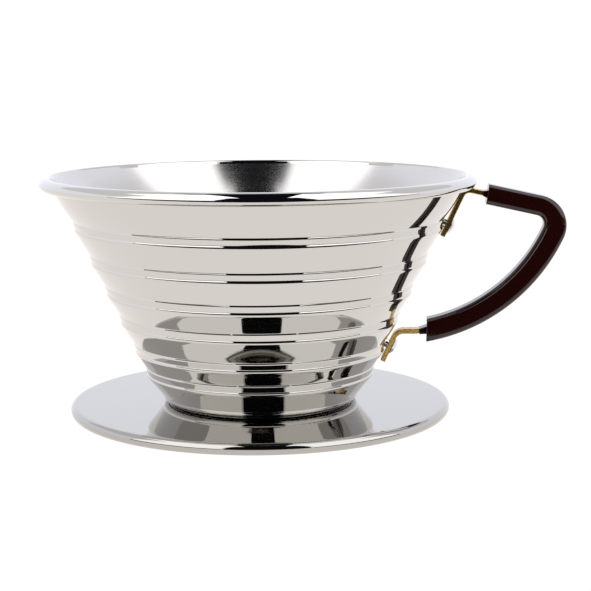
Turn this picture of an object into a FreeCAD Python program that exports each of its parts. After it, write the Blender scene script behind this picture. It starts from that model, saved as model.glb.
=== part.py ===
"""Pour over dripper for flat-bottomed wave filters.

A stepped steel cone with a rolled rim stands on a round saucer that rests on
a mug or a server.  A bent brass strap, moulded into a dark resin grip, is
riveted to the side of the cone.  Millimetres, +Z up.  The origin is on the
cone's axis, in the plane that the saucer's hem rests on, and the handle
points along +X.
"""
import FreeCAD
import Part
import math
import os
from FreeCAD import Vector

# ---- driving dimensions ----------------------------------------------------
# rim and wall of the cone
rim_radius = 58.0            # outermost point of the rolled rim
rim_height = 63.9            # top of the rolled rim
rim_roll_radius = 1.75       # half the thickness of the rolled rim
rim_roll_turn = 292.0        # degrees that the sheet curls, from the wall round
wall = 0.5                   # sheet thickness of the cone

# pressed steps of the cone
step_heights = (52.5, 43.5, 35.1, 27.4, 19.3, 12.9)   # creases above each bead
first_step_radius = 49.4     # radius of the wall at the highest crease
step_taper = 0.465           # radius lost for each millimetre down
bead_height = 1.9            # crease above a bead to crease below it
bead_inset = 0.33            # the crease below is this much further in
bead_bulge = 0.26            # how far a bead stands proud of its creases
band_bulge = 0.45            # how far a band between two beads is bowed out

# foot and floor of the cone
foot_inset = 0.9             # the lowest band ends this much inside the crease line
foot_rounding = 1.5
drip_holes = 3
drip_hole_radius = 2.5
drip_circle_radius = 8.5
rib_length = 13.0            # raised ribs between the drip holes
rib_start = 3.0
rib_radius = 1.1

# saucer
saucer_radius = 51.2
saucer_sheet = 0.6
hem_radius = 1.5             # half the thickness of the rolled hem
hem_turn = 180.0             # a half round, so that the saucer's flat underside stays open
seat_margin = 0.6            # the raised seat is this much smaller than the cone's floor
seat_height = 0.45
outlet_radius = 16.0         # inside the turned-down collar round the outlet

# handle strap
strap_width = 3.4
strap_thickness = 1.3
strap_gap = 0.05             # between the strap's leg and the wall it rests on
strap_rim_gap = 0.1          # between the strap's arm and the rim that it passes under
upper_foot_height = 47.45    # end of the upper leg
lower_foot_height = 13.6     # end of the lower leg
upper_bend_radius = 2.2
lower_bend_radius = 3.0
exit_bend_radius = 20.0      # straightens the strap where it leaves the grip

# resin grip
grip_arm_thickness = 5.35    # of the straight arm
grip_palm_thickness = 6.15   # of the curved palm
grip_width = 6.4
grip_rounding = 1.45
grip_outer_corner = 8.1      # radius of the outer side between arm and palm
grip_inner_corner = 2.4
grip_clearance = 2.6         # from the rim's outermost point to the grip
arm_slope = 12.2             # degrees below the horizontal
arm_length = 14.55
corner_radius = 4.85         # of the strap inside the grip
corner_turn = 101.4
palm_radius = 46.0
palm_turn = 55.4
upper_end_slant = 0.35       # the outer side runs this much further than the inner side
lower_end_slant = 1.3
upper_boot_length = 1.1      # tapered resin boot round the strap at each end
lower_boot_length = 2.0
boot_margin = 0.45           # resin round the strap where a boot meets the grip
boot_tip_margin = 0.075      # and at the boot's tip

# rivets
rivet_upper_height = 50.4
rivet_lower_height = 17.9
rivet_head_radius = 2.45
rivet_head_height = 1.1
rivet_shank_radius = 1.2
rivet_inner_radius = 2.0
rivet_inner_height = 0.6
rivet_seat_gap = 0.05        # between the inner head and the creases of the wall

# modelling aids
cutter_margin = 1.0          # a cutter runs this far past what it cuts
touch = 1e-4                 # points this near are the same point

# ---- derived places --------------------------------------------------------
Z_AXIS = Vector(0, 0, 1)
Y_AXIS = Vector(0, 1, 0)
taper_angle = math.atan(step_taper)
roll_centre = (rim_radius - rim_roll_radius, rim_height - rim_roll_radius)
saucer_height = 2 * hem_radius
cone_floor_bottom = saucer_height + seat_height
wall_shift = wall / math.cos(taper_angle)
arm_start_reach = rim_radius + grip_clearance


def step_radius(height):
    """Radius of the crease line at a height: a straight cone."""
    return first_step_radius - step_taper * (step_heights[0] - height)


def foot_radius():
    """Where the lowest band meets the foot's rounding."""
    return step_radius(cone_floor_bottom + foot_rounding) - foot_inset


def arm_start():
    """Centre of the grip's upper end: the arm slopes down from under the rim."""
    slope = math.radians(arm_slope)
    below = (rim_roll_radius + strap_rim_gap + strap_thickness / 2) / math.cos(slope)
    fall = (arm_start_reach - roll_centre[0]) * math.tan(slope)
    return (arm_start_reach, roll_centre[1] - below - fall)


def wall_crest():
    """How far the bowed bands stand out from the crease line, square to it.

    A band starts outside the crease line, at the rim's roll or at the foot of
    a bead, and bows out on its way down to the next crease.
    """
    top = wall_top(rim_roll_radius - wall)
    crests = []
    for start in (top[0] - step_radius(top[1]), bead_height * step_taper - bead_inset):
        start *= math.cos(taper_angle)
        share = max(0, (4 * band_bulge - start) / (8 * band_bulge))
        crests.append(start * (1 - share) + 4 * band_bulge * share * (1 - share))
    return max(crests)


def wall_top(radius):
    """Where the wall runs into the rim's roll, on a circle of the roll."""
    return polar(roll_centre, radius, 180 - math.degrees(taper_angle))


def polar(centre, radius, angle):
    """Point in the XZ half-plane at an angle in degrees from +X."""
    turn = math.radians(angle)
    return (centre[0] + radius * math.cos(turn), centre[1] + radius * math.sin(turn))


def spot(point):
    """A 2-D point of the XZ half-plane as a vector."""
    return Vector(point[0], 0, point[1])


def line_edge(start, end):
    return Part.LineSegment(spot(start), spot(end)).toShape()


def arc_edge(start, middle, end):
    return Part.Arc(spot(start), spot(middle), spot(end)).toShape()


def bowed_edge(start, end, bulge):
    """Arc from start to end, bowed to the right of the way down."""
    run = (end[0] - start[0], end[1] - start[1])
    length = math.hypot(run[0], run[1])
    side = (-run[1] / length * bulge, run[0] / length * bulge)
    middle = ((start[0] + end[0]) / 2 + side[0], (start[1] + end[1]) / 2 + side[1])
    return arc_edge(start, middle, end)


def revolve(edges):
    """Solid of revolution of a closed outline about the Z axis."""
    face = Part.Face(Part.Wire(Part.__sortEdges__(edges)))
    return face.revolve(Vector(0, 0, 0), Z_AXIS, 360)


# ---- cone ------------------------------------------------------------------
def wall_edges(top, shift, foot):
    """Bands and beads from the rim's roll down to the foot, moved inwards."""
    edges = []
    start = top
    for height in step_heights:
        crease = (step_radius(height) - shift, height)
        below = (crease[0] - bead_inset, height - bead_height)
        edges.append(bowed_edge(start, crease, band_bulge))
        edges.append(bowed_edge(crease, below, bead_bulge))
        start = below
    edges.append(bowed_edge(start, foot, band_bulge))
    return edges


def cone_outline():
    """Closed half section of the pressed cone, from roll to floor."""
    wall_side = 180 - math.degrees(taper_angle)
    roll_end = wall_side - rim_roll_turn
    roll_middle = wall_side - rim_roll_turn / 2
    inner_roll = rim_roll_radius - wall
    outer_top = wall_top(inner_roll)
    inner_top = wall_top(rim_roll_radius)
    foot = (foot_radius(), cone_floor_bottom + foot_rounding)
    foot_heel = (foot[0] - foot_rounding, cone_floor_bottom)
    foot_knuckle = polar((foot_heel[0], foot[1]), foot_rounding, -45)
    floor_top = cone_floor_bottom + wall
    inner_rounding = foot_rounding - wall
    inner_foot = (foot[0] - wall_shift, foot[1])
    inner_heel = (inner_foot[0] - inner_rounding, floor_top)
    inner_knuckle = polar((inner_heel[0], floor_top + inner_rounding), inner_rounding, -45)
    edges = [arc_edge(polar(roll_centre, inner_roll, roll_end),
                      polar(roll_centre, inner_roll, roll_middle), outer_top)]
    edges += wall_edges(outer_top, 0, foot)
    edges.append(arc_edge(foot, foot_knuckle, foot_heel))
    edges.append(line_edge(foot_heel, (0, cone_floor_bottom)))
    edges.append(line_edge((0, cone_floor_bottom), (0, floor_top)))
    edges.append(line_edge((0, floor_top), inner_heel))
    edges.append(arc_edge(inner_heel, inner_knuckle, inner_foot))
    edges += wall_edges(inner_top, wall_shift, inner_foot)
    edges.append(arc_edge(inner_top, polar(roll_centre, rim_roll_radius, roll_middle),
                          polar(roll_centre, rim_roll_radius, roll_end)))
    edges.append(line_edge(polar(roll_centre, rim_roll_radius, roll_end),
                           polar(roll_centre, inner_roll, roll_end)))
    return edges


def floor_rib(angle):
    """Rounded rib pressed up out of the floor, running outwards."""
    base = Vector(rib_start, 0, cone_floor_bottom + wall)
    rib = Part.makeCylinder(rib_radius, rib_length, base, Vector(1, 0, 0))
    for end in (rib_start, rib_start + rib_length):
        rib = rib.fuse(Part.makeSphere(rib_radius, Vector(end, 0, base.z)))
    reach = rib_start + rib_length + rib_radius + cutter_margin
    sheet_middle = cone_floor_bottom + wall / 2
    below = Part.makeBox(2 * reach, 2 * reach, reach, Vector(-reach, -reach, sheet_middle - reach))
    rib = rib.cut(below)
    rib.rotate(Vector(0, 0, 0), Z_AXIS, angle)
    return rib


def make_cone_body(rivets):
    cone = revolve(cone_outline())
    spacing = 360 / drip_holes
    for index in range(drip_holes):
        angle = index * spacing
        cone = cone.fuse(floor_rib(angle + spacing / 2))
        turn = math.radians(angle)
        centre = Vector(drip_circle_radius * math.cos(turn), drip_circle_radius * math.sin(turn),
                        cone_floor_bottom - cutter_margin)
        depth = wall + 2 * cutter_margin
        cone = cone.cut(Part.makeCylinder(drip_hole_radius, depth, centre, Z_AXIS))
    for rivet in rivets:
        cone = cone.cut(rivet)
    return cone.removeSplitter()


# ---- saucer ----------------------------------------------------------------
def make_base_flange():
    """Round saucer with a rolled hem, a raised seat and an outlet collar.

    The collar is as deep as the hem, so both end on the resting plane.
    """
    top = saucer_height
    under = top - saucer_sheet
    hem_centre = (saucer_radius - hem_radius, top - hem_radius)
    hem_inside = hem_radius - saucer_sheet
    hem_end = 90 - hem_turn
    hem_middle = 90 - hem_turn / 2
    seat_top = top + seat_height
    seat_radius = foot_radius() - foot_rounding - seat_margin
    seat_ramp = seat_radius + seat_height
    collar_side = outlet_radius + saucer_sheet
    corners = [polar(hem_centre, hem_radius, 90), (seat_ramp, top), (seat_radius, seat_top),
               (outlet_radius, seat_top), (outlet_radius, 0), (collar_side, 0),
               (collar_side, seat_top - saucer_sheet), (seat_radius, seat_top - saucer_sheet),
               (seat_ramp, under), polar(hem_centre, hem_inside, 90)]
    edges = [line_edge(start, end) for start, end in zip(corners, corners[1:])]
    edges.append(arc_edge(polar(hem_centre, hem_inside, 90),
                          polar(hem_centre, hem_inside, hem_middle),
                          polar(hem_centre, hem_inside, hem_end)))
    edges.append(line_edge(polar(hem_centre, hem_inside, hem_end),
                           polar(hem_centre, hem_radius, hem_end)))
    edges.append(arc_edge(polar(hem_centre, hem_radius, 90),
                          polar(hem_centre, hem_radius, hem_middle),
                          polar(hem_centre, hem_radius, hem_end)))
    return revolve(edges)


# ---- handle ----------------------------------------------------------------
class Ribbon:
    """A flat path of lines and tangent arcs in the XZ plane.

    The heading is in degrees from +X.  side_points gives the path moved
    sideways, so that a strip of any thickness follows the same path.
    """

    def __init__(self, start, heading):
        self.place = start
        self.heading = heading
        self.runs = []

    def line(self, length):
        self.runs.append(("line", self.place, self.heading, length, 0))
        self.place = polar(self.place, length, self.heading)

    def arc(self, radius, turn):
        """Turn right by a positive angle, left by a negative one."""
        hand = 1 if turn > 0 else -1
        centre = polar(self.place, radius * hand, self.heading - 90)
        self.runs.append(("arc", centre, self.heading, radius * hand, turn))
        self.heading -= turn
        self.place = polar(centre, -radius * hand, self.heading - 90)

    def side_edges(self, offset):
        """Edges of the path moved to the left by an offset."""
        edges = []
        for kind, anchor, heading, size, turn in self.runs:
            if kind == "line":
                start = polar(anchor, offset, heading + 90)
                edges.append(line_edge(start, polar(start, size, heading)))
            else:
                reach = size + offset
                points = [polar(anchor, reach, heading + 90 - part * turn) for part in (0, 0.5, 1)]
                edges.append(arc_edge(*points))
        return edges

    def strip(self, thickness, width):
        """Solid strip of this path, centred on the XZ plane."""
        left = self.side_edges(thickness / 2)
        right = self.side_edges(-thickness / 2)
        ends = [line_edge_between(left[0], right[0], 0), line_edge_between(left[-1], right[-1], 1)]
        face = Part.Face(Part.Wire(Part.__sortEdges__(left + right + ends)))
        face.translate(Vector(0, -width / 2, 0))
        return face.extrude(Vector(0, width, 0))


def line_edge_between(first, second, which):
    """Edge that joins the first or the last points of two edges."""
    points = [edge.valueAt(edge.FirstParameter if which == 0 else edge.LastParameter)
              for edge in (first, second)]
    return Part.LineSegment(points[0], points[1]).toShape()


def leg_point(height):
    """Centre of the strap's leg, which lies on the crests of the bands."""
    offset = (wall_crest() + strap_gap + strap_thickness / 2) / math.cos(taper_angle)
    return (step_radius(height) + offset, height)


def meeting(point, heading, other, other_heading):
    """Where two straight runs of the strap would cross."""
    turn = math.radians(heading)
    other_turn = math.radians(other_heading)
    gap = (other[0] - point[0], other[1] - point[1])
    across = math.cos(turn) * math.sin(other_turn) - math.sin(turn) * math.cos(other_turn)
    length = (gap[0] * math.sin(other_turn) - gap[1] * math.cos(other_turn)) / across
    return polar(point, length, heading)


def distance(first, second):
    return math.hypot(first[0] - second[0], first[1] - second[1])


def grip_path():
    path = Ribbon(arm_start(), -arm_slope)
    path.line(arm_length)
    path.arc(corner_radius, corner_turn)
    path.arc(palm_radius, palm_turn)
    return path


def strap_path():
    """Leg, bend, arm, corner, palm, bend and leg, as one bent strip."""
    leg_heading = 90 - math.degrees(taper_angle)
    grip = grip_path()
    arm = arm_start()
    upper_foot = leg_point(upper_foot_height)
    upper_corner = meeting(upper_foot, leg_heading, arm, -arm_slope)
    upper_turn = leg_heading + arm_slope
    upper_trim = upper_bend_radius * math.tan(math.radians(upper_turn / 2))
    path = Ribbon(upper_foot, leg_heading)
    path.line(distance(upper_foot, upper_corner) - upper_trim)
    path.arc(upper_bend_radius, upper_turn)
    path.line(distance(upper_corner, arm) - upper_trim + arm_length)
    path.arc(corner_radius, corner_turn)
    path.arc(palm_radius, palm_turn)
    exit_turn = 180 + grip.heading
    path.arc(exit_bend_radius, exit_turn)
    lower_foot = leg_point(lower_foot_height)
    lower_corner = meeting(lower_foot, leg_heading, path.place, 180)
    lower_turn = 180 - leg_heading
    lower_trim = lower_bend_radius * math.tan(math.radians((180 - lower_turn) / 2))
    path.line(distance(path.place, lower_corner) - lower_trim)
    path.arc(lower_bend_radius, lower_turn - 180)
    path.line(distance(lower_corner, lower_foot) - lower_trim)
    return path


def boot(place, heading, length):
    """Tapered resin boot round the strap where it leaves the grip."""
    wires = []
    for reach, margin in ((-boot_margin, boot_margin), (length, boot_tip_margin)):
        centre = polar(place, reach, heading)
        high = strap_thickness / 2 + margin
        wide = strap_width / 2 + margin
        corners = []
        for lift, side in ((high, wide), (-high, wide), (-high, -wide), (high, -wide)):
            corner = polar(centre, lift, heading + 90)
            corners.append(Vector(corner[0], side, corner[1]))
        wires.append(Part.makePolygon(corners + corners[:1]))
    return Part.makeLoft(wires, True)


def grip_side(arm_half, palm_half, corner, upper_run, lower_run):
    """Arm, corner and palm of one long side, each tangent to the next.

    The halves reach from the strap's middle to the side, and are negative for
    the inner side.  The runs lengthen the side past the grip's two ends.
    """
    path = grip_path()
    palm_centre = path.runs[-1][1]
    palm_reach = palm_radius + palm_half
    across = 90 - arm_slope
    arm = polar(arm_start(), arm_half, across)
    base = polar(arm, -corner, across)
    gap = (base[0] - palm_centre[0], base[1] - palm_centre[1])
    slope = math.radians(arm_slope)
    along = gap[0] * math.cos(slope) - gap[1] * math.sin(slope)
    beyond = along ** 2 - gap[0] ** 2 - gap[1] ** 2 + (palm_reach - corner) ** 2
    length = math.sqrt(beyond) - along
    centre = polar(base, length, -arm_slope)
    meets = math.degrees(math.atan2(centre[1] - palm_centre[1], centre[0] - palm_centre[0]))
    ends = path.heading + 90 - math.degrees(lower_run / palm_reach)
    return [line_edge(polar(arm, -upper_run, -arm_slope), polar(arm, length, -arm_slope)),
            arc_edge(*[polar(centre, corner, angle) for angle in (across, (across + meets) / 2, meets)]),
            arc_edge(*[polar(palm_centre, palm_reach, angle)
                       for angle in (meets, (meets + ends) / 2, ends)])]


def make_handle_grip(strap):
    outer = grip_side(grip_arm_thickness / 2, grip_palm_thickness / 2, grip_outer_corner,
                      upper_end_slant / 2, lower_end_slant / 2)
    inner = grip_side(-grip_arm_thickness / 2, -grip_palm_thickness / 2, grip_inner_corner,
                      -upper_end_slant / 2, -lower_end_slant / 2)
    ends = [line_edge_between(outer[0], inner[0], 0), line_edge_between(outer[-1], inner[-1], 1)]
    face = Part.Face(Part.Wire(Part.__sortEdges__(outer + inner + ends)))
    face.translate(Vector(0, -grip_width / 2, 0))
    grip = face.extrude(Vector(0, grip_width, 0))
    middles = [middle_of(edge) for edge in ends]
    long_edges = [edge for edge in grip.Edges if lies_along_grip(edge, middles)]
    grip = grip.makeFillet(grip_rounding, long_edges)
    path = grip_path()
    grip = grip.fuse(boot(arm_start(), 180 - arm_slope, upper_boot_length))
    grip = grip.fuse(boot(path.place, path.heading, lower_boot_length))
    return grip.cut(strap)


def middle_of(edge):
    return edge.valueAt((edge.FirstParameter + edge.LastParameter) / 2)


def lies_along_grip(edge, end_middles):
    """The long edges lie in the grip's two flat sides and are none of the end lines."""
    middle = middle_of(edge)
    apart = [math.hypot(middle.x - end.x, middle.z - end.z) > touch for end in end_middles]
    return edge.BoundBox.YLength < touch and all(apart)


def make_handle_strap(rivets):
    strap = strap_path().strip(strap_thickness, strap_width)
    for rivet in rivets:
        strap = strap.cut(rivet)
    return strap


def make_rivet(height):
    """Domed rivet through the strap and the wall, clenched flat inside."""
    grip_depth = strap_thickness + strap_gap + wall_crest() + wall + rivet_seat_gap
    cap_radius = (rivet_head_radius ** 2 + rivet_head_height ** 2) / (2 * rivet_head_height)
    cap_angle = math.degrees(math.asin(rivet_head_radius / cap_radius))
    cap_centre = (0, rivet_head_height - cap_radius)
    clench = -grip_depth - rivet_inner_height
    corners = [(rivet_head_radius, 0), (rivet_shank_radius, 0), (rivet_shank_radius, -grip_depth),
               (rivet_inner_radius, -grip_depth), (rivet_inner_radius, clench), (0, clench),
               (0, rivet_head_height)]
    edges = [line_edge(start, end) for start, end in zip(corners, corners[1:])]
    edges.append(arc_edge((0, rivet_head_height), polar(cap_centre, cap_radius, 90 - cap_angle / 2),
                          (rivet_head_radius, 0)))
    rivet = revolve(edges)
    outward = 90 + math.degrees(taper_angle)
    face = polar(leg_point(height), strap_thickness / 2, -math.degrees(taper_angle))
    rivet.rotate(Vector(0, 0, 0), Y_AXIS, outward)
    rivet.translate(spot(face))
    return rivet


def build():
    upper_rivet = make_rivet(rivet_upper_height)
    lower_rivet = make_rivet(rivet_lower_height)
    rivets = (upper_rivet, lower_rivet)
    strap = make_handle_strap(rivets)
    return {
        "cone_body": make_cone_body(rivets),
        "base_flange": make_base_flange(),
        "handle_strap": strap,
        "handle_grip": make_handle_grip(strap),
        "upper_rivet": upper_rivet,
        "lower_rivet": lower_rivet,
    }


os.makedirs("parts", exist_ok=True)
for node, shape in build().items():
    shape.exportStep("parts/" + node + ".step")
    print(node, len(shape.Solids), "solid, volume", round(shape.Volume, 1), "valid", shape.isValid())
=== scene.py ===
# %% [markdown]
# # A pour over dripper in polished steel
#
# A stepped cone of thin stainless sheet stands on a round saucer.  A brass strap, moulded
# into a dark resin grip, is riveted to its side.  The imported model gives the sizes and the
# places of the pieces, and this script makes the surfaces that a camera sees.

# %% Load the frame
import bpy
import math
import numpy as np
from mathutils import Matrix, Vector
from mathutils.geometry import tessellate_polygon


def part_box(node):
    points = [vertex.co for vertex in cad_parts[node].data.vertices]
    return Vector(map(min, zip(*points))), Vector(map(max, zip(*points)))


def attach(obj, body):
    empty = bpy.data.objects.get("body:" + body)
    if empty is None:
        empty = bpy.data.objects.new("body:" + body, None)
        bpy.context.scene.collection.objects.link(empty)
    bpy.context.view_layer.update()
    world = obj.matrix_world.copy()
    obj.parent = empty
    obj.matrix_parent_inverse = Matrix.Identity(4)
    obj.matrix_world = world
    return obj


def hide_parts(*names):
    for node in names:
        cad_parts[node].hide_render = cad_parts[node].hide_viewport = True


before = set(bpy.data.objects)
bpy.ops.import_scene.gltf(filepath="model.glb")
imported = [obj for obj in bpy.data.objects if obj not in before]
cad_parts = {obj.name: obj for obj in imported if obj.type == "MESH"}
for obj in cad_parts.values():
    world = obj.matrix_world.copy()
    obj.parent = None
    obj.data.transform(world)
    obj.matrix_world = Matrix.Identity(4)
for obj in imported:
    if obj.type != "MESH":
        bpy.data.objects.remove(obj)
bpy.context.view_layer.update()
MM = 0.001

# %% [markdown]
# ## Colours and nodes
#
# Colours are written as the sRGB hex values that a colour picker shows.  Shaders work in
# linear light, so one function converts them.  A second one adds a node with its settings
# and links, which keeps each material down to a few readable lines.

# %% Colour and node helpers
def linear(hex_colour):
    """Linear RGBA of an sRGB hex colour such as "#D8D0C8"."""
    channels = [int(hex_colour[i:i + 2], 16) / 255 for i in (1, 3, 5)]
    return [c / 12.92 if c <= 0.04045 else ((c + 0.055) / 1.055) ** 2.4 for c in channels] + [1.0]


def add_node(tree, kind, settings=(), **sockets):
    """Add a node.  A socket, named with _ for a space, gets a value or another's output."""
    node = tree.nodes.new(kind)
    for name, value in dict(settings).items():
        setattr(node, name, value)
    for name, value in sockets.items():
        socket = node.inputs[name.replace("_", " ")]
        if isinstance(value, bpy.types.NodeSocket):
            tree.links.new(value, socket)
        else:
            socket.default_value = value
    return node


def new_material(name):
    """An empty material, and its node tree."""
    material = bpy.data.materials.new(name)
    material.use_nodes = True
    material.node_tree.nodes.clear()
    return material, material.node_tree


def tint_between(tree, share, dark, light):
    """Colour between two hex colours."""
    ramp = add_node(tree, "ShaderNodeValToRGB", Fac=share)
    ramp.color_ramp.elements[0].color = linear(dark)
    ramp.color_ramp.elements[1].color = linear(light)
    return ramp.outputs["Color"]


# %% [markdown]
# ## Polished stainless steel
#
# The outside of the cone and the saucer are buffed to a mirror, so nearly all that the eye
# sees on them is the room.  Only a faint haze breaks the reflections: a noise pattern with
# spots of about 15 mm moves the roughness a little up and down.  The saucer's steel is a
# little darker and less warm.

# %% Polished steel
def polished_steel(name, colour):
    material, tree = new_material(name)
    place = add_node(tree, "ShaderNodeTexCoord").outputs["Object"]
    haze = add_node(tree, "ShaderNodeTexNoise", Vector=place, Scale=1 / (15 * MM), Detail=3.0)
    rough = add_node(tree, "ShaderNodeMapRange", Value=haze.outputs[0], To_Min=0.015, To_Max=0.045)
    shader = add_node(tree, "ShaderNodeBsdfPrincipled", Base_Color=linear(colour),
                      Metallic=1.0, Roughness=rough.outputs[0])
    add_node(tree, "ShaderNodeOutputMaterial", Surface=shader.outputs[0])
    return material


POLISHED = polished_steel("polished stainless steel", "#CECCC8")
SAUCER = polished_steel("polished saucer steel", "#B4B2AD")

# %% [markdown]
# ## Satin inside
#
# The inside is brushed round and round.  Fine grooves spread a reflection across them, so
# the room shows as soft upright columns.  An anisotropic shader does this when its tangent
# runs round the axis.  A noise pattern that is stretched around the cone, and only 0.25 mm
# fine up its side, draws the single lines.

# %% Satin steel
def satin_steel():
    material, tree = new_material("satin brushed stainless steel")
    place = add_node(tree, "ShaderNodeTexCoord").outputs["Object"]
    stretch = add_node(tree, "ShaderNodeMapping", Vector=place,
                       Scale=(1 / (30 * MM), 1 / (30 * MM), 1 / (0.25 * MM)))
    lines = add_node(tree, "ShaderNodeTexNoise", Vector=stretch.outputs[0], Scale=1.0, Detail=4.0)
    rough = add_node(tree, "ShaderNodeMapRange", Value=lines.outputs[0], To_Min=0.14, To_Max=0.28)
    groove = add_node(tree, "ShaderNodeBump", Height=lines.outputs[0], Strength=0.14,
                      Distance=0.006 * MM)
    around = add_node(tree, "ShaderNodeTangent", {"direction_type": "RADIAL", "axis": "Z"})
    shader = add_node(tree, "ShaderNodeBsdfPrincipled", Base_Color=linear("#D0CECB"),
                      Metallic=1.0, Roughness=rough.outputs[0], Anisotropic=0.8,
                      Anisotropic_Rotation=0.25, Tangent=around.outputs[0],
                      Normal=groove.outputs[0])
    add_node(tree, "ShaderNodeOutputMaterial", Surface=shader.outputs[0])
    return material


SATIN = satin_steel()

# %% [markdown]
# ## Brass, resin and rivets
#
# The strap is rolled brass strip.  Its gold is mottled with brown in spots of about half a
# millimetre: painted reflection of the dark room, scattered at random.  The grip is a dark
# brown resin with a moulded gloss: its colour shows only where no lamp is mirrored.  The
# rivets are turned steel, less smooth than the sheet.

# %% Brass, resin and rivet steel
def brass():
    material, tree = new_material("rolled brass strip")
    place = add_node(tree, "ShaderNodeTexCoord").outputs["Object"]
    # The brown of this mottle is painted reflection of the dark room, spread at random; the same
    # noise also dents the strip a little.
    spots = add_node(tree, "ShaderNodeTexNoise", Vector=place, Scale=1 / (0.55 * MM), Detail=3.0)
    share = add_node(tree, "ShaderNodeMapRange", Value=spots.outputs[0], From_Min=0.3,
                     From_Max=0.64)
    dent = add_node(tree, "ShaderNodeBump", Height=spots.outputs[0], Strength=0.3,
                    Distance=0.03 * MM)
    shader = add_node(tree, "ShaderNodeBsdfPrincipled", Metallic=1.0, Roughness=0.3,
                      Base_Color=tint_between(tree, share.outputs[0], "#9A7634", "#E4C67C"),
                      Normal=dent.outputs[0])
    add_node(tree, "ShaderNodeOutputMaterial", Surface=shader.outputs[0])
    return material


def plain(name, colour, **sockets):
    material, tree = new_material(name)
    shader = add_node(tree, "ShaderNodeBsdfPrincipled", Base_Color=linear(colour), **sockets)
    add_node(tree, "ShaderNodeOutputMaterial", Surface=shader.outputs[0])
    return material


BRASS = brass()
RESIN = plain("dark brown glossy resin", "#240A08", Roughness=0.05, IOR=1.52)
RIVET = plain("turned rivet steel", "#DAD9D8", Metallic=1.0, Roughness=0.14)

# %% [markdown]
# ## Outlines
#
# A pressed round part is one outline spun about its axis.  Here an outline is a list of
# radius and height in millimetres, made of lines and arcs with a point every 0.05 mm.
# Press tools leave a small radius on each crease, so the finished outline is eased: every
# point moves to the mean of its near neighbours.

# %% Outline helpers
def polar(centre, radius, angle):
    turn = math.radians(angle)
    return np.array([centre[0] + radius * math.cos(turn), centre[1] + radius * math.sin(turn)])


def arc(centre, radius, start, end, step=0.05):
    count = max(4, int(abs(math.radians(end - start)) * radius / step))
    return [polar(centre, radius, angle) for angle in np.linspace(start, end, count)]


def line(start, end, step=0.05):
    length = math.dist(start, end)
    return list(np.linspace(start, end, max(2, int(length / step))))


def bend(start, first, last, length, step=0.05):
    """Way down from start, while its lean inwards goes from a first to a last angle."""
    count = max(3, int(length / step))
    lean = np.radians(np.linspace(first, last, 2 * count + 1)[1::2])
    moves = -np.stack([np.sin(lean), np.cos(lean)], 1) * length / count
    return [np.array(start)] + list(np.array(start) + np.cumsum(moves, axis=0))


def lean_between(start, end):
    """Lean inwards of the straight way down from start to end."""
    return math.degrees(math.atan2(start[0] - end[0], start[1] - end[1]))


def bend_to(start, end, first):
    """Way down from start to end on the one arc that starts with a given lean."""
    chord = lean_between(start, end)
    half = math.radians(chord - first)
    length = math.dist(start, end) * (half / math.sin(half) if abs(half) > 1e-6 else 1)
    return bend(start, first, 2 * chord - first, length)


def ease(points, radius, step=0.05):
    """Even out an open outline and round its creases over about a radius."""
    points = np.array(points)
    points = points[np.append(True, np.hypot(*np.diff(points, axis=0).T) > 1e-6)]
    along = np.append(0, np.cumsum(np.hypot(*np.diff(points, axis=0).T)))
    even = np.linspace(0, along[-1], int(along[-1] / step) + 1)
    path = np.stack([np.interp(even, along, points[:, k]) for k in (0, 1)], 1)
    reach = int(3 * radius / step)
    weights = np.exp(-0.5 * (np.arange(-reach, reach + 1) * step / radius) ** 2)
    weights /= weights.sum()
    before, after = 2 * path[0] - path[reach:0:-1], 2 * path[-1] - path[-2:-reach - 2:-1]
    padded = np.concatenate([before, path, after])
    return np.stack([np.convolve(padded[:, k], weights, "valid") for k in (0, 1)], 1)


# %% [markdown]
# ## From outline to mesh
#
# A mirror shows every facet, so the outline keeps a point for each 2.5 degrees that it
# turns, and each mesh corner gets the outline's own direction as its normal.  With the same
# helper the rivets are turned later.

# %% Spinning an outline
near_axis = 0.1             # an outline's end that is closer to the axis gets closed


def thin(path, turn=2.5, longest=1.2):
    """Points and normals of an outline where it has turned or run far enough."""
    steps = np.diff(path, axis=0)
    heading = np.unwrap(np.arctan2(steps[:, 1], steps[:, 0]))
    sides = np.stack([steps[:, 1], -steps[:, 0]], 1)
    sides = np.vstack([sides[:1], (sides[1:] + sides[:-1]) / 2, sides[-1:]])
    sides /= np.linalg.norm(sides, axis=1)[:, None]
    kept, last, run = [0], heading[0], 0.0
    for i in range(1, len(path) - 1):
        run += np.hypot(*steps[i - 1])
        if abs(heading[i] - last) > math.radians(turn) or run > longest:
            kept.append(i)
            last, run = heading[i], 0.0
    kept.append(len(path) - 1)
    return path[kept], sides[kept]


def make_piece(name, places, facing, faces, material, node, slot):
    """Smooth mesh object with given normals, which takes a model node's place."""
    mesh = bpy.data.meshes.new(name)
    mesh.from_pydata((np.array(places) * MM).tolist(), [], faces)
    mesh.polygons.foreach_set("use_smooth", [True] * len(faces))
    mesh.normals_split_custom_set_from_vertices(np.array(facing).tolist())
    mesh.materials.append(material)
    piece = bpy.data.objects.new(name, mesh)
    bpy.context.scene.collection.objects.link(piece)
    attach(piece, "root")
    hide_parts(node)
    print(name, len(places), "points,", len(faces), "faces")
    return piece


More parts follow.
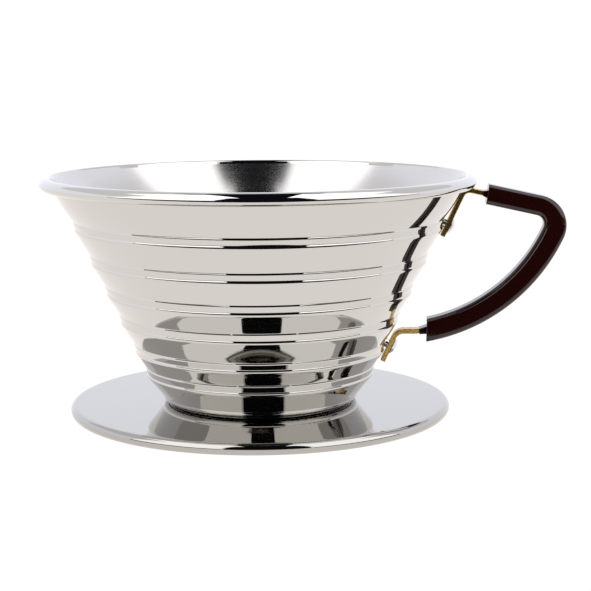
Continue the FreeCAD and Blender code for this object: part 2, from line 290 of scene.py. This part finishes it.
def spun(path, segments):
    """Points, normals and faces of an outline spun about Z; ends on the axis are closed."""
    path, sides = thin(path)
    angles = np.linspace(0, 2 * math.pi, segments, endpoint=False)
    cos, sin = np.cos(angles), np.sin(angles)
    rings = lambda pairs: np.concatenate(
        [np.stack([r * cos, r * sin, 0 * cos + z], 1) for r, z in pairs])
    faces = []
    for row in range(len(path) - 1):
        low, high = row * segments, (row + 1) * segments
        for k in range(segments):
            after = (k + 1) % segments
            faces.append((low + k, low + after, high + after, high + k))
    if path[0][0] < near_axis:
        faces.append(tuple(range(segments))[::-1])
    if path[-1][0] < near_axis:
        faces.append(tuple(range((len(path) - 1) * segments, len(path) * segments)))
    return rings(path), rings(sides), faces


# %% [markdown]
# ## The stepped cone
#
# The wall is pressed into seven bands with six narrow beads between them.  Each crease
# throws the surface outwards for a moment, so a thin bright or dark line is mirrored there,
# while the band below looks down at the table and stays even.  All sizes are in millimetres,
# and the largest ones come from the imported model's own box.

# %% Sizes of the cone
rim_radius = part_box("cone_body")[1].x / MM
rim_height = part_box("cone_body")[1].z / MM
floor_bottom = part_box("cone_body")[0].z / MM
roll = 1.75                 # radius of the rolled rim
roll_turn = 292.0           # degrees that the sheet curls
wall = 0.5                  # thickness of the sheet
step_heights = (52.5, 43.5, 35.1, 27.4, 19.3, 12.9)
first_step = 49.4           # radius at the highest crease
taper = 0.465               # millimetres inwards for each one down
bead_height = 1.9
bead_inset = 0.45
band_bulge = 0.45           # how far the top band bows out
foot_inset = 0.9
foot_rounding = 1.5
taper_angle = math.degrees(math.atan(taper))
wall_shift = wall / math.cos(math.radians(taper_angle))
roll_centre = (rim_radius - roll, rim_height - roll)
wall_side = 180 - taper_angle

# %% [markdown]
# ## Beads, bands and rim
#
# A bead is a small ridge, a nearly flat face and a rounded lower edge.  The top band bows
# out gently.  Each lower band starts with a round shoulder and then runs straight: the
# shoulder's last lean depends on where it ends, so a few rounds of trying settle it.  The
# rolled rim is a chain of arcs, nearly flat on top and tight at its nose.

# %% Beads, bands and rim
ridge_lean = -27.0          # lean of the surface just under a crease, outwards
ridge_radius = 0.75
bead_lean = 10.0
edge_lean = 36.0            # lean at the lower edge of a bead
edge_radius = 0.5
shoulder_lean = -26.0
shoulder_radius = 1.05
shoulder_tries = 8

# Each arc of the rim: the direction that it faces at its end, and its radius.
lip_turns = ((90, 0.8), (25, 2.515), (-25, 0.8), (-90, 2.0), (-137, 1.3))


def step_radius(height):
    return first_step - taper * (step_heights[0] - height)


def bead(crease, below):
    """From an upper crease to the lower one."""
    ridge_length = ridge_radius * math.radians(bead_lean - ridge_lean)
    edge_length = edge_radius * math.radians(edge_lean - bead_lean)
    ridge = bend(crease, ridge_lean, bead_lean, ridge_length)
    edge = bend((0, 0), bead_lean, edge_lean, edge_length)
    edge = [point + np.array(below) - edge[-1] for point in edge]
    return ridge + line(ridge[-1], edge[0]) + edge


def band(start, end, shoulder):
    """From a lower crease to the next upper one, with or without a shoulder."""
    lean = lean_between(start, end)
    if not shoulder:
        bow = math.degrees(math.atan(4 * band_bulge / math.dist(start, end)))
        return bend_to(start, end, lean - bow)
    for _ in range(shoulder_tries):
        length = shoulder_radius * math.radians(lean - shoulder_lean)
        round_part = bend(start, shoulder_lean, lean, length)
        lean = lean_between(round_part[-1], end)
    return round_part + line(round_part[-1], end)


def lip():
    """Outline of the rolled rim, from the end of its curl over the top to the wall."""
    radius = lip_turns[0][1]
    wall_top = polar(roll_centre, roll, wall_side)
    rise = rim_height - radius * (1 - math.sin(math.radians(wall_side))) - wall_top[1]
    path, normal = [wall_top, wall_top + np.array([taper, 1]) * rise], wall_side
    for last, radius in lip_turns:
        centre = polar(path[-1], -radius, normal)
        path += arc(centre, radius, normal, last)
        normal = last
    return path[::-1]


def wall_line(top, shift, foot):
    """Bands and beads, from the rim down to the foot."""
    path, start = [], top
    for height in step_heights:
        crease = (step_radius(height) - shift, height)
        below = (crease[0] - bead_inset, height - bead_height)
        path += band(start, crease, shoulder=height != step_heights[0]) + bead(crease, below)
        start = below
    return path + band(start, foot, shoulder=True)


# %% [markdown]
# ## Outside, rim and inside
#
# The sheet has one outline for its outside and one for its inside, a wall's thickness
# apart.  The outside is polished and the inside is satin, so they are two pieces, and the
# rolled rim between them is a third.

# %% Outlines of the cone
foot = (step_radius(floor_bottom + foot_rounding) - foot_inset, floor_bottom + foot_rounding)
heel = foot[0] - foot_rounding
outer_roll = arc(roll_centre, roll - wall, wall_side - roll_turn, wall_side)
outside = outer_roll + wall_line(outer_roll[-1], 0, foot)
outside += arc((heel, foot[1]), foot_rounding, 0, -90)
inner_rounding = foot_rounding - wall
inner_foot = (foot[0] - wall_shift, foot[1])
inner_heel = inner_foot[0] - inner_rounding
floor_top = floor_bottom + wall
rim = lip()
inside = wall_line(rim[-1], wall_shift, inner_foot)
inside += arc((inner_heel, floor_top + inner_rounding), inner_rounding, 0, -90)
crease_radius = 0.09
segments = 256              # round the axis

for name, path, material in (("cone_outside", ease(outside, crease_radius)[::-1], POLISHED),
                             ("rolled_rim", np.array(rim), POLISHED),
                             ("cone_inside", ease(inside, crease_radius), SATIN)):
    make_piece(name, *spun(path, segments), material, "cone_body", "polished_steel")

# %% [markdown]
# ## The floor
#
# Three drip holes go through the floor of the cone.  The floor is a flat sheet with real
# holes: the space between the circles is filled with triangles, above and below, and each
# hole gets its own short wall.

# %% Floor with drip holes
hole_radius = 2.5
hole_circle = 8.5
holes = 3
hole_segments = 48


def circle(centre, radius, count):
    angles = np.linspace(0, 2 * math.pi, count, endpoint=False)
    return [Vector((centre[0] + radius * math.cos(a), centre[1] + radius * math.sin(a), 0))
            for a in angles]


def make_floor():
    """Upper and lower face with the holes in them, and the walls of the holes."""
    places, facing, faces = [], [], []
    hole_places = [polar((0, 0), hole_circle, 360 / holes * k) for k in range(holes)]
    hole_rings = [circle(place, hole_radius, hole_segments) for place in hole_places]
    for height, radius, up in ((floor_top, inner_heel, 1), (floor_bottom, heel, -1)):
        rings = [circle((0, 0), radius, segments)] + hole_rings
        base = len(places)
        flat = [point for ring in rings for point in ring]
        places += [(p.x, p.y, height) for p in flat]
        facing += [(0, 0, up)] * len(flat)
        for face in tessellate_polygon(rings):
            a, b, c = (flat[i] for i in face)
            order = face if (b - a).cross(c - a).z * up > 0 else face[::-1]
            faces.append(tuple(base + i for i in order))
    for centre, ring in zip(hole_places, hole_rings):
        base, count = len(places), len(ring)
        for height in (floor_bottom, floor_top):
            places += [(p.x, p.y, height) for p in ring]
            facing += [((centre[0] - p.x) / hole_radius, (centre[1] - p.y) / hole_radius, 0)
                       for p in ring]
        for i in range(count):
            after = (i + 1) % count
            faces.append((base + i, base + count + i, base + count + after, base + after))
    return places, facing, faces


make_piece("cone_floor", *make_floor(), SATIN, "cone_body", "polished_steel")

# %% [markdown]
# ## Ribs
#
# Three ribs, pressed up between the holes, keep the paper filter off the steel.  Each is
# the upper half of a rod with round ends.

# %% Ribs
rib_radius = 1.1
rib_start = 3.0
rib_length = 13.0


def make_rib(angle):
    """Upper half of a rod with round ends, lying on the floor along a radius."""
    across, along = 16, 10
    places, facing = [], []
    turn = Matrix.Rotation(math.radians(angle), 3, "Z")
    ends = [(rib_start, a) for a in np.radians(np.linspace(-90, 0, along))]
    ends += [(rib_start + rib_length, a) for a in np.radians(np.linspace(0, 90, along))]
    for x, tip in ends:
        for side in np.radians(np.linspace(0, 180, across)):
            out = np.array([math.sin(tip), math.cos(tip) * math.cos(side),
                            math.cos(tip) * math.sin(side)])
            facing.append(turn @ Vector(out))
            places.append(turn @ Vector(np.array([x, 0, floor_top]) + rib_radius * out))
    faces = []
    for row in range(len(ends) - 1):
        low, high = row * across, (row + 1) * across
        faces += [(low + k, low + k + 1, high + k + 1, high + k) for k in range(across - 1)]
    return places, facing, faces


for k in range(holes):
    make_piece(f"floor_rib_{k + 1}", *make_rib(360 / holes * (k + 0.5)), SATIN,
               "cone_body", "polished_steel")

# %% [markdown]
# ## The saucer
#
# The saucer is one pressed sheet as well: a hem rolled down at its edge, a flat dish, a
# raised seat under the cone and a collar turned down round the outlet.

# %% Saucer
saucer_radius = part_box("base_flange")[1].x / MM
hem = 1.5                   # radius of the rolled edge
sheet = 0.6
dish = 2 * hem              # height of the flat dish
seat_margin = 0.6           # from the seat's edge out to the cone's heel
seat_radius = heel - seat_margin
seat_ramp = seat_radius + floor_bottom - dish
outlet = 16.0               # bore of the collar
saucer_crease_radius = 0.07
hem_centre = (saucer_radius - hem, dish - hem)
corners = [(hem_centre[0], dish), (seat_ramp, dish), (seat_radius, floor_bottom),
           (outlet, floor_bottom), (outlet, 0), (outlet + sheet, 0),
           (outlet + sheet, floor_bottom - sheet), (seat_radius, floor_bottom - sheet),
           (seat_ramp, dish - sheet), (hem_centre[0], dish - sheet)]
saucer = arc(hem_centre, hem, -90, 90)
for start, end in zip(corners, corners[1:]):
    saucer += line(start, end)
saucer += arc(hem_centre, hem - sheet, 90, -90)
saucer += line((hem_centre[0], sheet), (hem_centre[0], 0))
make_piece("saucer", *spun(ease(saucer, saucer_crease_radius), segments), SAUCER,
           "base_flange", "saucer_steel")

# %% [markdown]
# ## Sweeping a strip
#
# Strap and grip are both a rounded rectangle carried along a curve.  A station holds the
# two sides of the strip and the directions that they face, so the strip may grow thicker
# on its way.  The ends get a small rounding and a flat cap.

# %% Strip helpers
def walk(start, heading, runs, step=0.3, closest=0.05):
    """Points and headings along straight runs (length) and bends (radius, turn)."""
    place, stops = np.array(start, float), []
    for run in runs:
        if len(run) == 1:
            way = polar(place, run[0], heading)
            count = max(2, int(run[0] / step))
            stops += [(*point, heading) for point in np.linspace(place, way, count)]
            place = way
            continue
        radius, turn = math.copysign(run[0], run[1]), run[1]
        centre = polar(place, radius, heading - 90)
        count = max(3, int(abs(radius * math.radians(turn)) / step))
        stops += [(*polar(centre, -radius, heading - t - 90), heading - t)
                  for t in np.linspace(0, turn, count)]
        heading -= turn
        place = polar(centre, -radius, heading - 90)
    kept = [stops[0]]
    for stop in stops[1:]:
        if math.dist(stop[:2], kept[-1][:2]) > closest:
            kept.append(stop)
    return kept, place, heading


def strip(stations, wide, rounding, end_rounding, corner_points=8):
    """Points, normals and faces of a rounded rectangle swept through stations.

    A station is (outer point, inner point, outer direction, inner direction).
    """
    end_angles = (90, 70, 50, 30, 12, 0)
    middles = [(o + i) / 2 for o, i, _, _ in stations]
    ways = []
    for k in range(len(stations)):
        way = middles[min(k + 1, len(stations) - 1)] - middles[max(k - 1, 0)]
        ways.append(way / np.linalg.norm(way))
    rounds = [(end_rounding * (1 - math.sin(math.radians(a))),
               end_rounding * (1 - math.cos(math.radians(a))), a) for a in end_angles]
    rings = [(0, shift, inset, -tilt) for shift, inset, tilt in rounds]
    for k in range(1, len(stations) - 1):
        to_end = min(math.dist(middles[k], middles[0]), math.dist(middles[k], middles[-1]))
        if to_end > 1.5 * end_rounding:
            rings.append((k, 0, 0, 0))
    for shift, inset, tilt in rounds[::-1]:
        rings.append((len(stations) - 1, -shift, inset, tilt))
    places, facing = [], []
    for k, shift, inset, tilt in rings:
        outer, inner, outward, inward = stations[k]
        half = np.linalg.norm(outer - inner) / 2 - inset
        side = (outer - inner) / np.linalg.norm(outer - inner)
        lean = math.radians(tilt)
        for quarter, (sx, sy) in enumerate(((1, 1), (-1, 1), (-1, -1), (1, -1))):
            for angle in np.linspace(90 * quarter, 90 * quarter + 90, corner_points):
                c, s = math.cos(math.radians(angle)), math.sin(math.radians(angle))
                radius = rounding - inset
                x = sx * (half - radius) + radius * c
                y = sy * (wide / 2 - inset - radius) + radius * s
                point = middles[k] + ways[k] * shift + side * x
                flat = (outward if c > 0 else inward) * abs(c)
                flat = flat * math.cos(lean) + ways[k] * math.sin(lean)
                places.append((point[0], y, point[1]))
                facing.append((flat[0], s * math.cos(lean), flat[1]))
    size = 4 * corner_points
    faces = [tuple(range(size)), tuple(range((len(rings) - 1) * size, len(rings) * size))[::-1]]
    for row in range(len(rings) - 1):
        low, high = row * size, (row + 1) * size
        for k in range(size):
            after = (k + 1) % size
            faces.append((low + k, high + k, high + after, low + after))
    return places, facing, faces


def station(middle, heading, thickness):
    """Station of a strip with even sides."""
    left = polar((0, 0), 1, heading + 90)
    return middle + left * thickness / 2, middle - left * thickness / 2, left, -left


# %% [markdown]
# ## The brass strap
#
# The strap starts at its upper foot, climbs the cone's side, bends out under the rim, runs
# through the grip and comes back to its lower foot.  Its legs stand just outside the crest
# of a bowed band.  Where two straight runs meet, a bend of a given radius takes a bit off
# both of them.

# %% Strap
strap_thickness = 1.3
strap_wide = (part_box("handle_strap")[1].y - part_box("handle_strap")[0].y) / MM
strap_rounding, strap_end_rounding = 0.22, 0.12
strap_gap = 0.05            # between a leg and the wall
strap_rim_gap = 0.1         # between the arm and the rolled rim
arm_start = 2.6             # from the rim out to the start of the grip
arm_slope = 12.2
arm_length = 14.55
corner_radius, corner_turn = 4.85, 101.4
palm_radius, palm_turn = 46.0, 55.4
upper_bend, lower_bend, exit_bend = 2.2, 3.0, 20.0
upper_foot, lower_foot = 47.45, 13.6
slope = math.radians(arm_slope)
lean = math.radians(taper_angle)

# How far a bowed band stands out from the straight side of the cone, at its crest.
first_top = outer_roll[-1]
start_out = (first_top[0] - step_radius(first_top[1])) * math.cos(lean)
share = (4 * band_bulge - start_out) / (8 * band_bulge)
wall_crest = start_out * (1 - share) + 4 * band_bulge * share * (1 - share)
leg_offset = (wall_crest + strap_gap + strap_thickness / 2) / math.cos(lean)
arm_reach = rim_radius + arm_start
arm_below = (roll + strap_rim_gap + strap_thickness / 2) / math.cos(slope)
arm = (arm_reach, roll_centre[1] - arm_below - (arm_reach - roll_centre[0]) * math.tan(slope))


def leg_point(height):
    return (step_radius(height) + leg_offset, height)


def crossing(point, heading, other, other_heading):
    """Where two straight runs meet."""
    a, b = math.radians(heading), math.radians(other_heading)
    gap = (other[0] - point[0], other[1] - point[1])
    across = math.cos(a) * math.sin(b) - math.sin(a) * math.cos(b)
    return polar(point, (gap[0] * math.sin(b) - gap[1] * math.cos(b)) / across, heading)


climb = 90 - taper_angle
upper_corner = crossing(leg_point(upper_foot), climb, arm, -arm_slope)
upper_trim = upper_bend * math.tan(math.radians((climb + arm_slope) / 2))
grip_runs = [(arm_length,), (corner_radius, corner_turn), (palm_radius, palm_turn)]
_, grip_end, grip_heading = walk(arm, -arm_slope, grip_runs)
_, exit_place, _ = walk(grip_end, grip_heading, [(exit_bend, 180 + grip_heading)])
lower_corner = crossing(leg_point(lower_foot), climb, exit_place, 180)
lower_trim = lower_bend * math.tan(math.radians(climb / 2))
strap_stops, _, _ = walk(leg_point(upper_foot), climb, [
    (math.dist(leg_point(upper_foot), upper_corner) - upper_trim,),
    (upper_bend, climb + arm_slope),
    (math.dist(upper_corner, arm) - upper_trim + arm_length,),
    (corner_radius, corner_turn), (palm_radius, palm_turn), (exit_bend, 180 + grip_heading),
    (math.dist(exit_place, lower_corner) - lower_trim,),
    (lower_bend, -climb),
    (math.dist(lower_corner, leg_point(lower_foot)) - lower_trim,)])
strap_stations = [station(np.array([x, z]), heading, strap_thickness)
                  for x, z, heading in strap_stops]
make_piece("brass_strap", *strip(strap_stations, strap_wide, strap_rounding, strap_end_rounding),
           BRASS, "handle_strap", "brass_strap")

# %% [markdown]
# ## The resin grip
#
# The grip is thicker in the palm than on its straight arm, so each long side has its own
# corner radius.  A corner touches the arm's side and the palm's circle, and its centre
# follows from those two conditions.  Both ends were cut a little out of square.

# %% Grip
grip_wide = (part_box("handle_grip")[1].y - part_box("handle_grip")[0].y) / MM
grip_arm_half, grip_palm_half = 2.675, 3.075
grip_outer_corner, grip_inner_corner = 8.1, 2.4
grip_rounding, grip_end_rounding = 1.45, 0.2
upper_slant, lower_slant = 0.175, 0.65      # of the ends, along the grip, at either side
arm_points, corner_points, palm_points = 30, 48, 90
palm_start = walk(arm, -arm_slope, grip_runs[:2])[1]
palm_centre = polar(palm_start, palm_radius, -arm_slope - corner_turn - 90)


def grip_side(arm_half, palm_half, corner, upper_run, lower_run):
    """Points and directions of a long side: arm, corner and palm."""
    across, reach = 90 - arm_slope, palm_radius + palm_half
    start = polar(arm, arm_half, across)
    base = polar(start, -corner, across)
    gap = base - palm_centre
    along = gap @ polar((0, 0), 1, -arm_slope)
    length = math.sqrt(along ** 2 - gap @ gap + (reach - corner) ** 2) - along
    centre = polar(base, length, -arm_slope)
    meets = math.degrees(math.atan2(*(centre - palm_centre)[::-1]))
    ends = grip_heading + 90 - math.degrees(lower_run / reach)
    side = [(p, across) for p in np.linspace(polar(start, -upper_run, -arm_slope),
                                             polar(start, length, -arm_slope), arm_points)]
    side += [(polar(centre, corner, a), a) for a in np.linspace(across, meets, corner_points)[1:]]
    side += [(polar(palm_centre, reach, a), a) for a in np.linspace(meets, ends, palm_points)[1:]]
    return side


outer_side = grip_side(grip_arm_half, grip_palm_half, grip_outer_corner,
                       upper_slant, lower_slant)
inner_side = grip_side(-grip_arm_half, -grip_palm_half, grip_inner_corner,
                       -upper_slant, -lower_slant)
grip_stations = [(o, i, polar((0, 0), 1, a), -polar((0, 0), 1, b))
                 for (o, a), (i, b) in zip(outer_side, inner_side)]
make_piece("resin_grip", *strip(grip_stations, grip_wide, grip_rounding, grip_end_rounding),
           RESIN, "handle_grip", "grip_resin")

# %% [markdown]
# ## The boots
#
# At each end of the grip a little resin runs out along the strap.  It is a short strip too,
# which gets thinner on its way.

# %% Boots
boot_margin = 0.45          # resin over the strap at the grip
boot_tip = 0.075            # resin over the strap at the tip
boot_rounding, boot_end_rounding = 0.3, 0.05
upper_boot_length, lower_boot_length = 1.1, 2.0
boot_stations = 6


def make_boot(name, place, heading, length):
    """Resin that tapers from the grip's end down to the strap."""
    stations = []
    for share in np.linspace(0, 1, boot_stations):
        margin = boot_margin + share * (boot_tip - boot_margin)
        middle = polar(place, -boot_margin + share * (length + boot_margin), heading)
        stations.append(station(middle, heading, strap_thickness + 2 * margin))
    wide = strap_wide + 2 * boot_margin
    make_piece(name, *strip(stations, wide, boot_rounding, boot_end_rounding), RESIN,
               "handle_grip", "grip_resin")


make_boot("upper_boot", arm, 180 - arm_slope, upper_boot_length)
make_boot("lower_boot", grip_end, grip_heading, lower_boot_length)

# %% [markdown]
# ## Rivets
#
# Each rivet is turned: a domed head outside, a shank through strap and wall, and a flat
# clenched head inside the cone.  It is made upright and then laid over so that its axis
# stands square to the cone's side.

# %% Rivets
head_radius, head_height = 2.45, 1.1
shank, clench_radius, clench_height = 1.2, 2.0, 0.6
clench_gap = 0.05
rivet_heights = {"upper_rivet": 50.4, "lower_rivet": 17.9}
axis_edge = 0.02            # the outline stops just short of the axis
rivet_crease_radius = 0.07
rivet_segments = 64
depth = strap_thickness + strap_gap + wall_crest + wall + clench_gap
dome = (head_radius ** 2 + head_height ** 2) / (2 * head_height)
dome_angle = math.degrees(math.asin(head_radius / dome))
rivet_corners = [(axis_edge, -depth - clench_height), (clench_radius, -depth - clench_height),
                 (clench_radius, -depth), (shank, -depth), (shank, 0), (head_radius, 0)]
rivet_path = []
for start, end in zip(rivet_corners, rivet_corners[1:]):
    rivet_path += line(start, end)
rivet_path += arc((0, head_height - dome), dome, 90 - dome_angle, 90.0)[:-1]
lay_over = Matrix.Rotation(math.radians(90 + taper_angle), 4, "Y")

for node, height in rivet_heights.items():
    outline = ease(rivet_path, rivet_crease_radius)
    piece = make_piece(node + "_turned", *spun(outline, rivet_segments), RIVET,
                       node, "rivet_steel")
    x, z = polar(leg_point(height), strap_thickness / 2, -taper_angle)
    piece.data.transform(Matrix.Translation(Vector((x, 0, z)) * MM) @ lay_over)

# %% [markdown]
# ## Studio
#
# A mirror only looks like steel when it has something to mirror.  The object stands on a
# white light table in a white room.  The room in front is dark, and so are the ceiling and
# the table there, which puts the black into the middle of each curve.  Softboxes at both
# sides and overhead give the white next to the black.  The upright ones stand behind a low
# dark skirt, which draws the thin dark line below the white one in each crease.

# %% Cards and lamps
camera_azimuth = 5.0
room_azimuth = camera_azimuth + 3.5
softbox_turn = 55           # from the middle of the room to a softbox
front = 1.3                 # metres from the object to the dark wall and the softboxes
back = -1.5                 # where the dark ceiling ends behind the object
dark_half, dark_top = 0.6, 2.4
table_edge_half, table_edge_start = 0.62, 0.11
softbox_half, softbox_low, softbox_top = 0.7, 0.02, 2.35
skirt_gap, skirt_top = 0.02, 0.22
overhead_inner, overhead_outer, overhead_back, overhead_height = 0.42, 1.7, -0.8, 2.38
table_half, ceiling_half, ceiling_height = 5, 4, 2.6


def spot(azimuth, right, front, height):
    """Place in the studio, seen from the object towards an azimuth, in metres."""
    turn = math.radians(azimuth)
    return Vector((front * math.sin(turn) + right * math.cos(turn),
                   -front * math.cos(turn) + right * math.sin(turn), height))


def card(name, corners, colour, seen=False):
    """A flat glowing or black card.  Most cards are seen in reflections only."""
    mesh = bpy.data.meshes.new(name)
    mesh.from_pydata(corners, [], [tuple(range(len(corners)))])
    piece = bpy.data.objects.new(name, mesh)
    bpy.context.scene.collection.objects.link(piece)
    material, tree = new_material(name)
    glow = add_node(tree, "ShaderNodeEmission", Color=(*colour, 1.0), Strength=1.0)
    add_node(tree, "ShaderNodeOutputMaterial", Surface=glow.outputs[0])
    mesh.materials.append(material)
    piece.visible_camera = seen


def upright(name, azimuth, distance, half, low, high, colour):
    card(name, [spot(azimuth, -half, distance, low), spot(azimuth, half, distance, low),
                spot(azimuth, half, distance, high), spot(azimuth, -half, distance, high)], colour)


def lying(name, azimuth, left, right, near, far, height, colour, seen=False):
    card(name, [spot(azimuth, left, near, height), spot(azimuth, right, near, height),
                spot(azimuth, right, far, height), spot(azimuth, left, far, height)], colour, seen)


black = (0.006, 0.006, 0.008)
dark = (0.16, 0.15, 0.14)
white_lamp = (1.9, 1.9, 1.95)
wall_white = (0.85, 0.85, 0.88)
warm_white = (1.07, 1.03, 1.01)
lying("light_table", 0, -table_half, table_half, -table_half, table_half, 0, warm_white,
      seen=True)
lying("table_edge", room_azimuth, -table_edge_half, table_edge_half, table_edge_start, front,
      0.002, black)
upright("dark_room", room_azimuth, front, dark_half, 0.0, dark_top, black)
lying("dark_ceiling", room_azimuth, -dark_half, dark_half, back, front, dark_top, black)
for side, sign in (("left", -1), ("right", 1)):
    azimuth = room_azimuth + sign * softbox_turn
    upright(side + "_softbox", azimuth, front, softbox_half, softbox_low, softbox_top, white_lamp)
    upright(side + "_skirt", azimuth, front - skirt_gap, softbox_half, 0.0, skirt_top, dark)
    left, right = sorted((sign * overhead_inner, sign * overhead_outer))
    lying(side + "_overhead", room_azimuth, left, right, overhead_back, front,
          overhead_height, white_lamp)
lying("white_ceiling", 0, -ceiling_half, ceiling_half, -ceiling_half, ceiling_half,
      ceiling_height, wall_white)
white_room = (1.11, 1.13, 1.24, 1)

world = bpy.data.worlds.new("white room")
bpy.context.scene.world = world
world.use_nodes = True
world.node_tree.nodes["Background"].inputs["Color"].default_value = white_room
bpy.context.scene.view_settings.view_transform = "Standard"

# %% [markdown]
# ## Camera
#
# A short telephoto view from 40 cm, a little above the rim, shows the mouth as a narrow
# ellipse.  The camera looks at a point beside the axis, because the handle makes the
# object wider on that side.

# %% Camera
camera_distance = 402.5
camera_height = 94.7
aim_right, aim_height = 9.67, 31.0
camera_roll = -0.325
eye = spot(camera_azimuth, 0, camera_distance, camera_height) * MM
aim = spot(camera_azimuth, aim_right, 0, aim_height) * MM
camera = bpy.data.objects.new("camera", bpy.data.cameras.new("camera"))
bpy.context.scene.collection.objects.link(camera)
look = (aim - eye).to_track_quat("-Z", "Y").to_matrix().to_4x4()
tilt = Matrix.Rotation(math.radians(camera_roll), 4, "Z")
camera.matrix_world = Matrix.Translation(eye) @ look @ tilt
camera.data.lens = 91.94
camera.data.sensor_width = 36
camera.data.clip_start = 0.01
bpy.context.scene.camera = camera
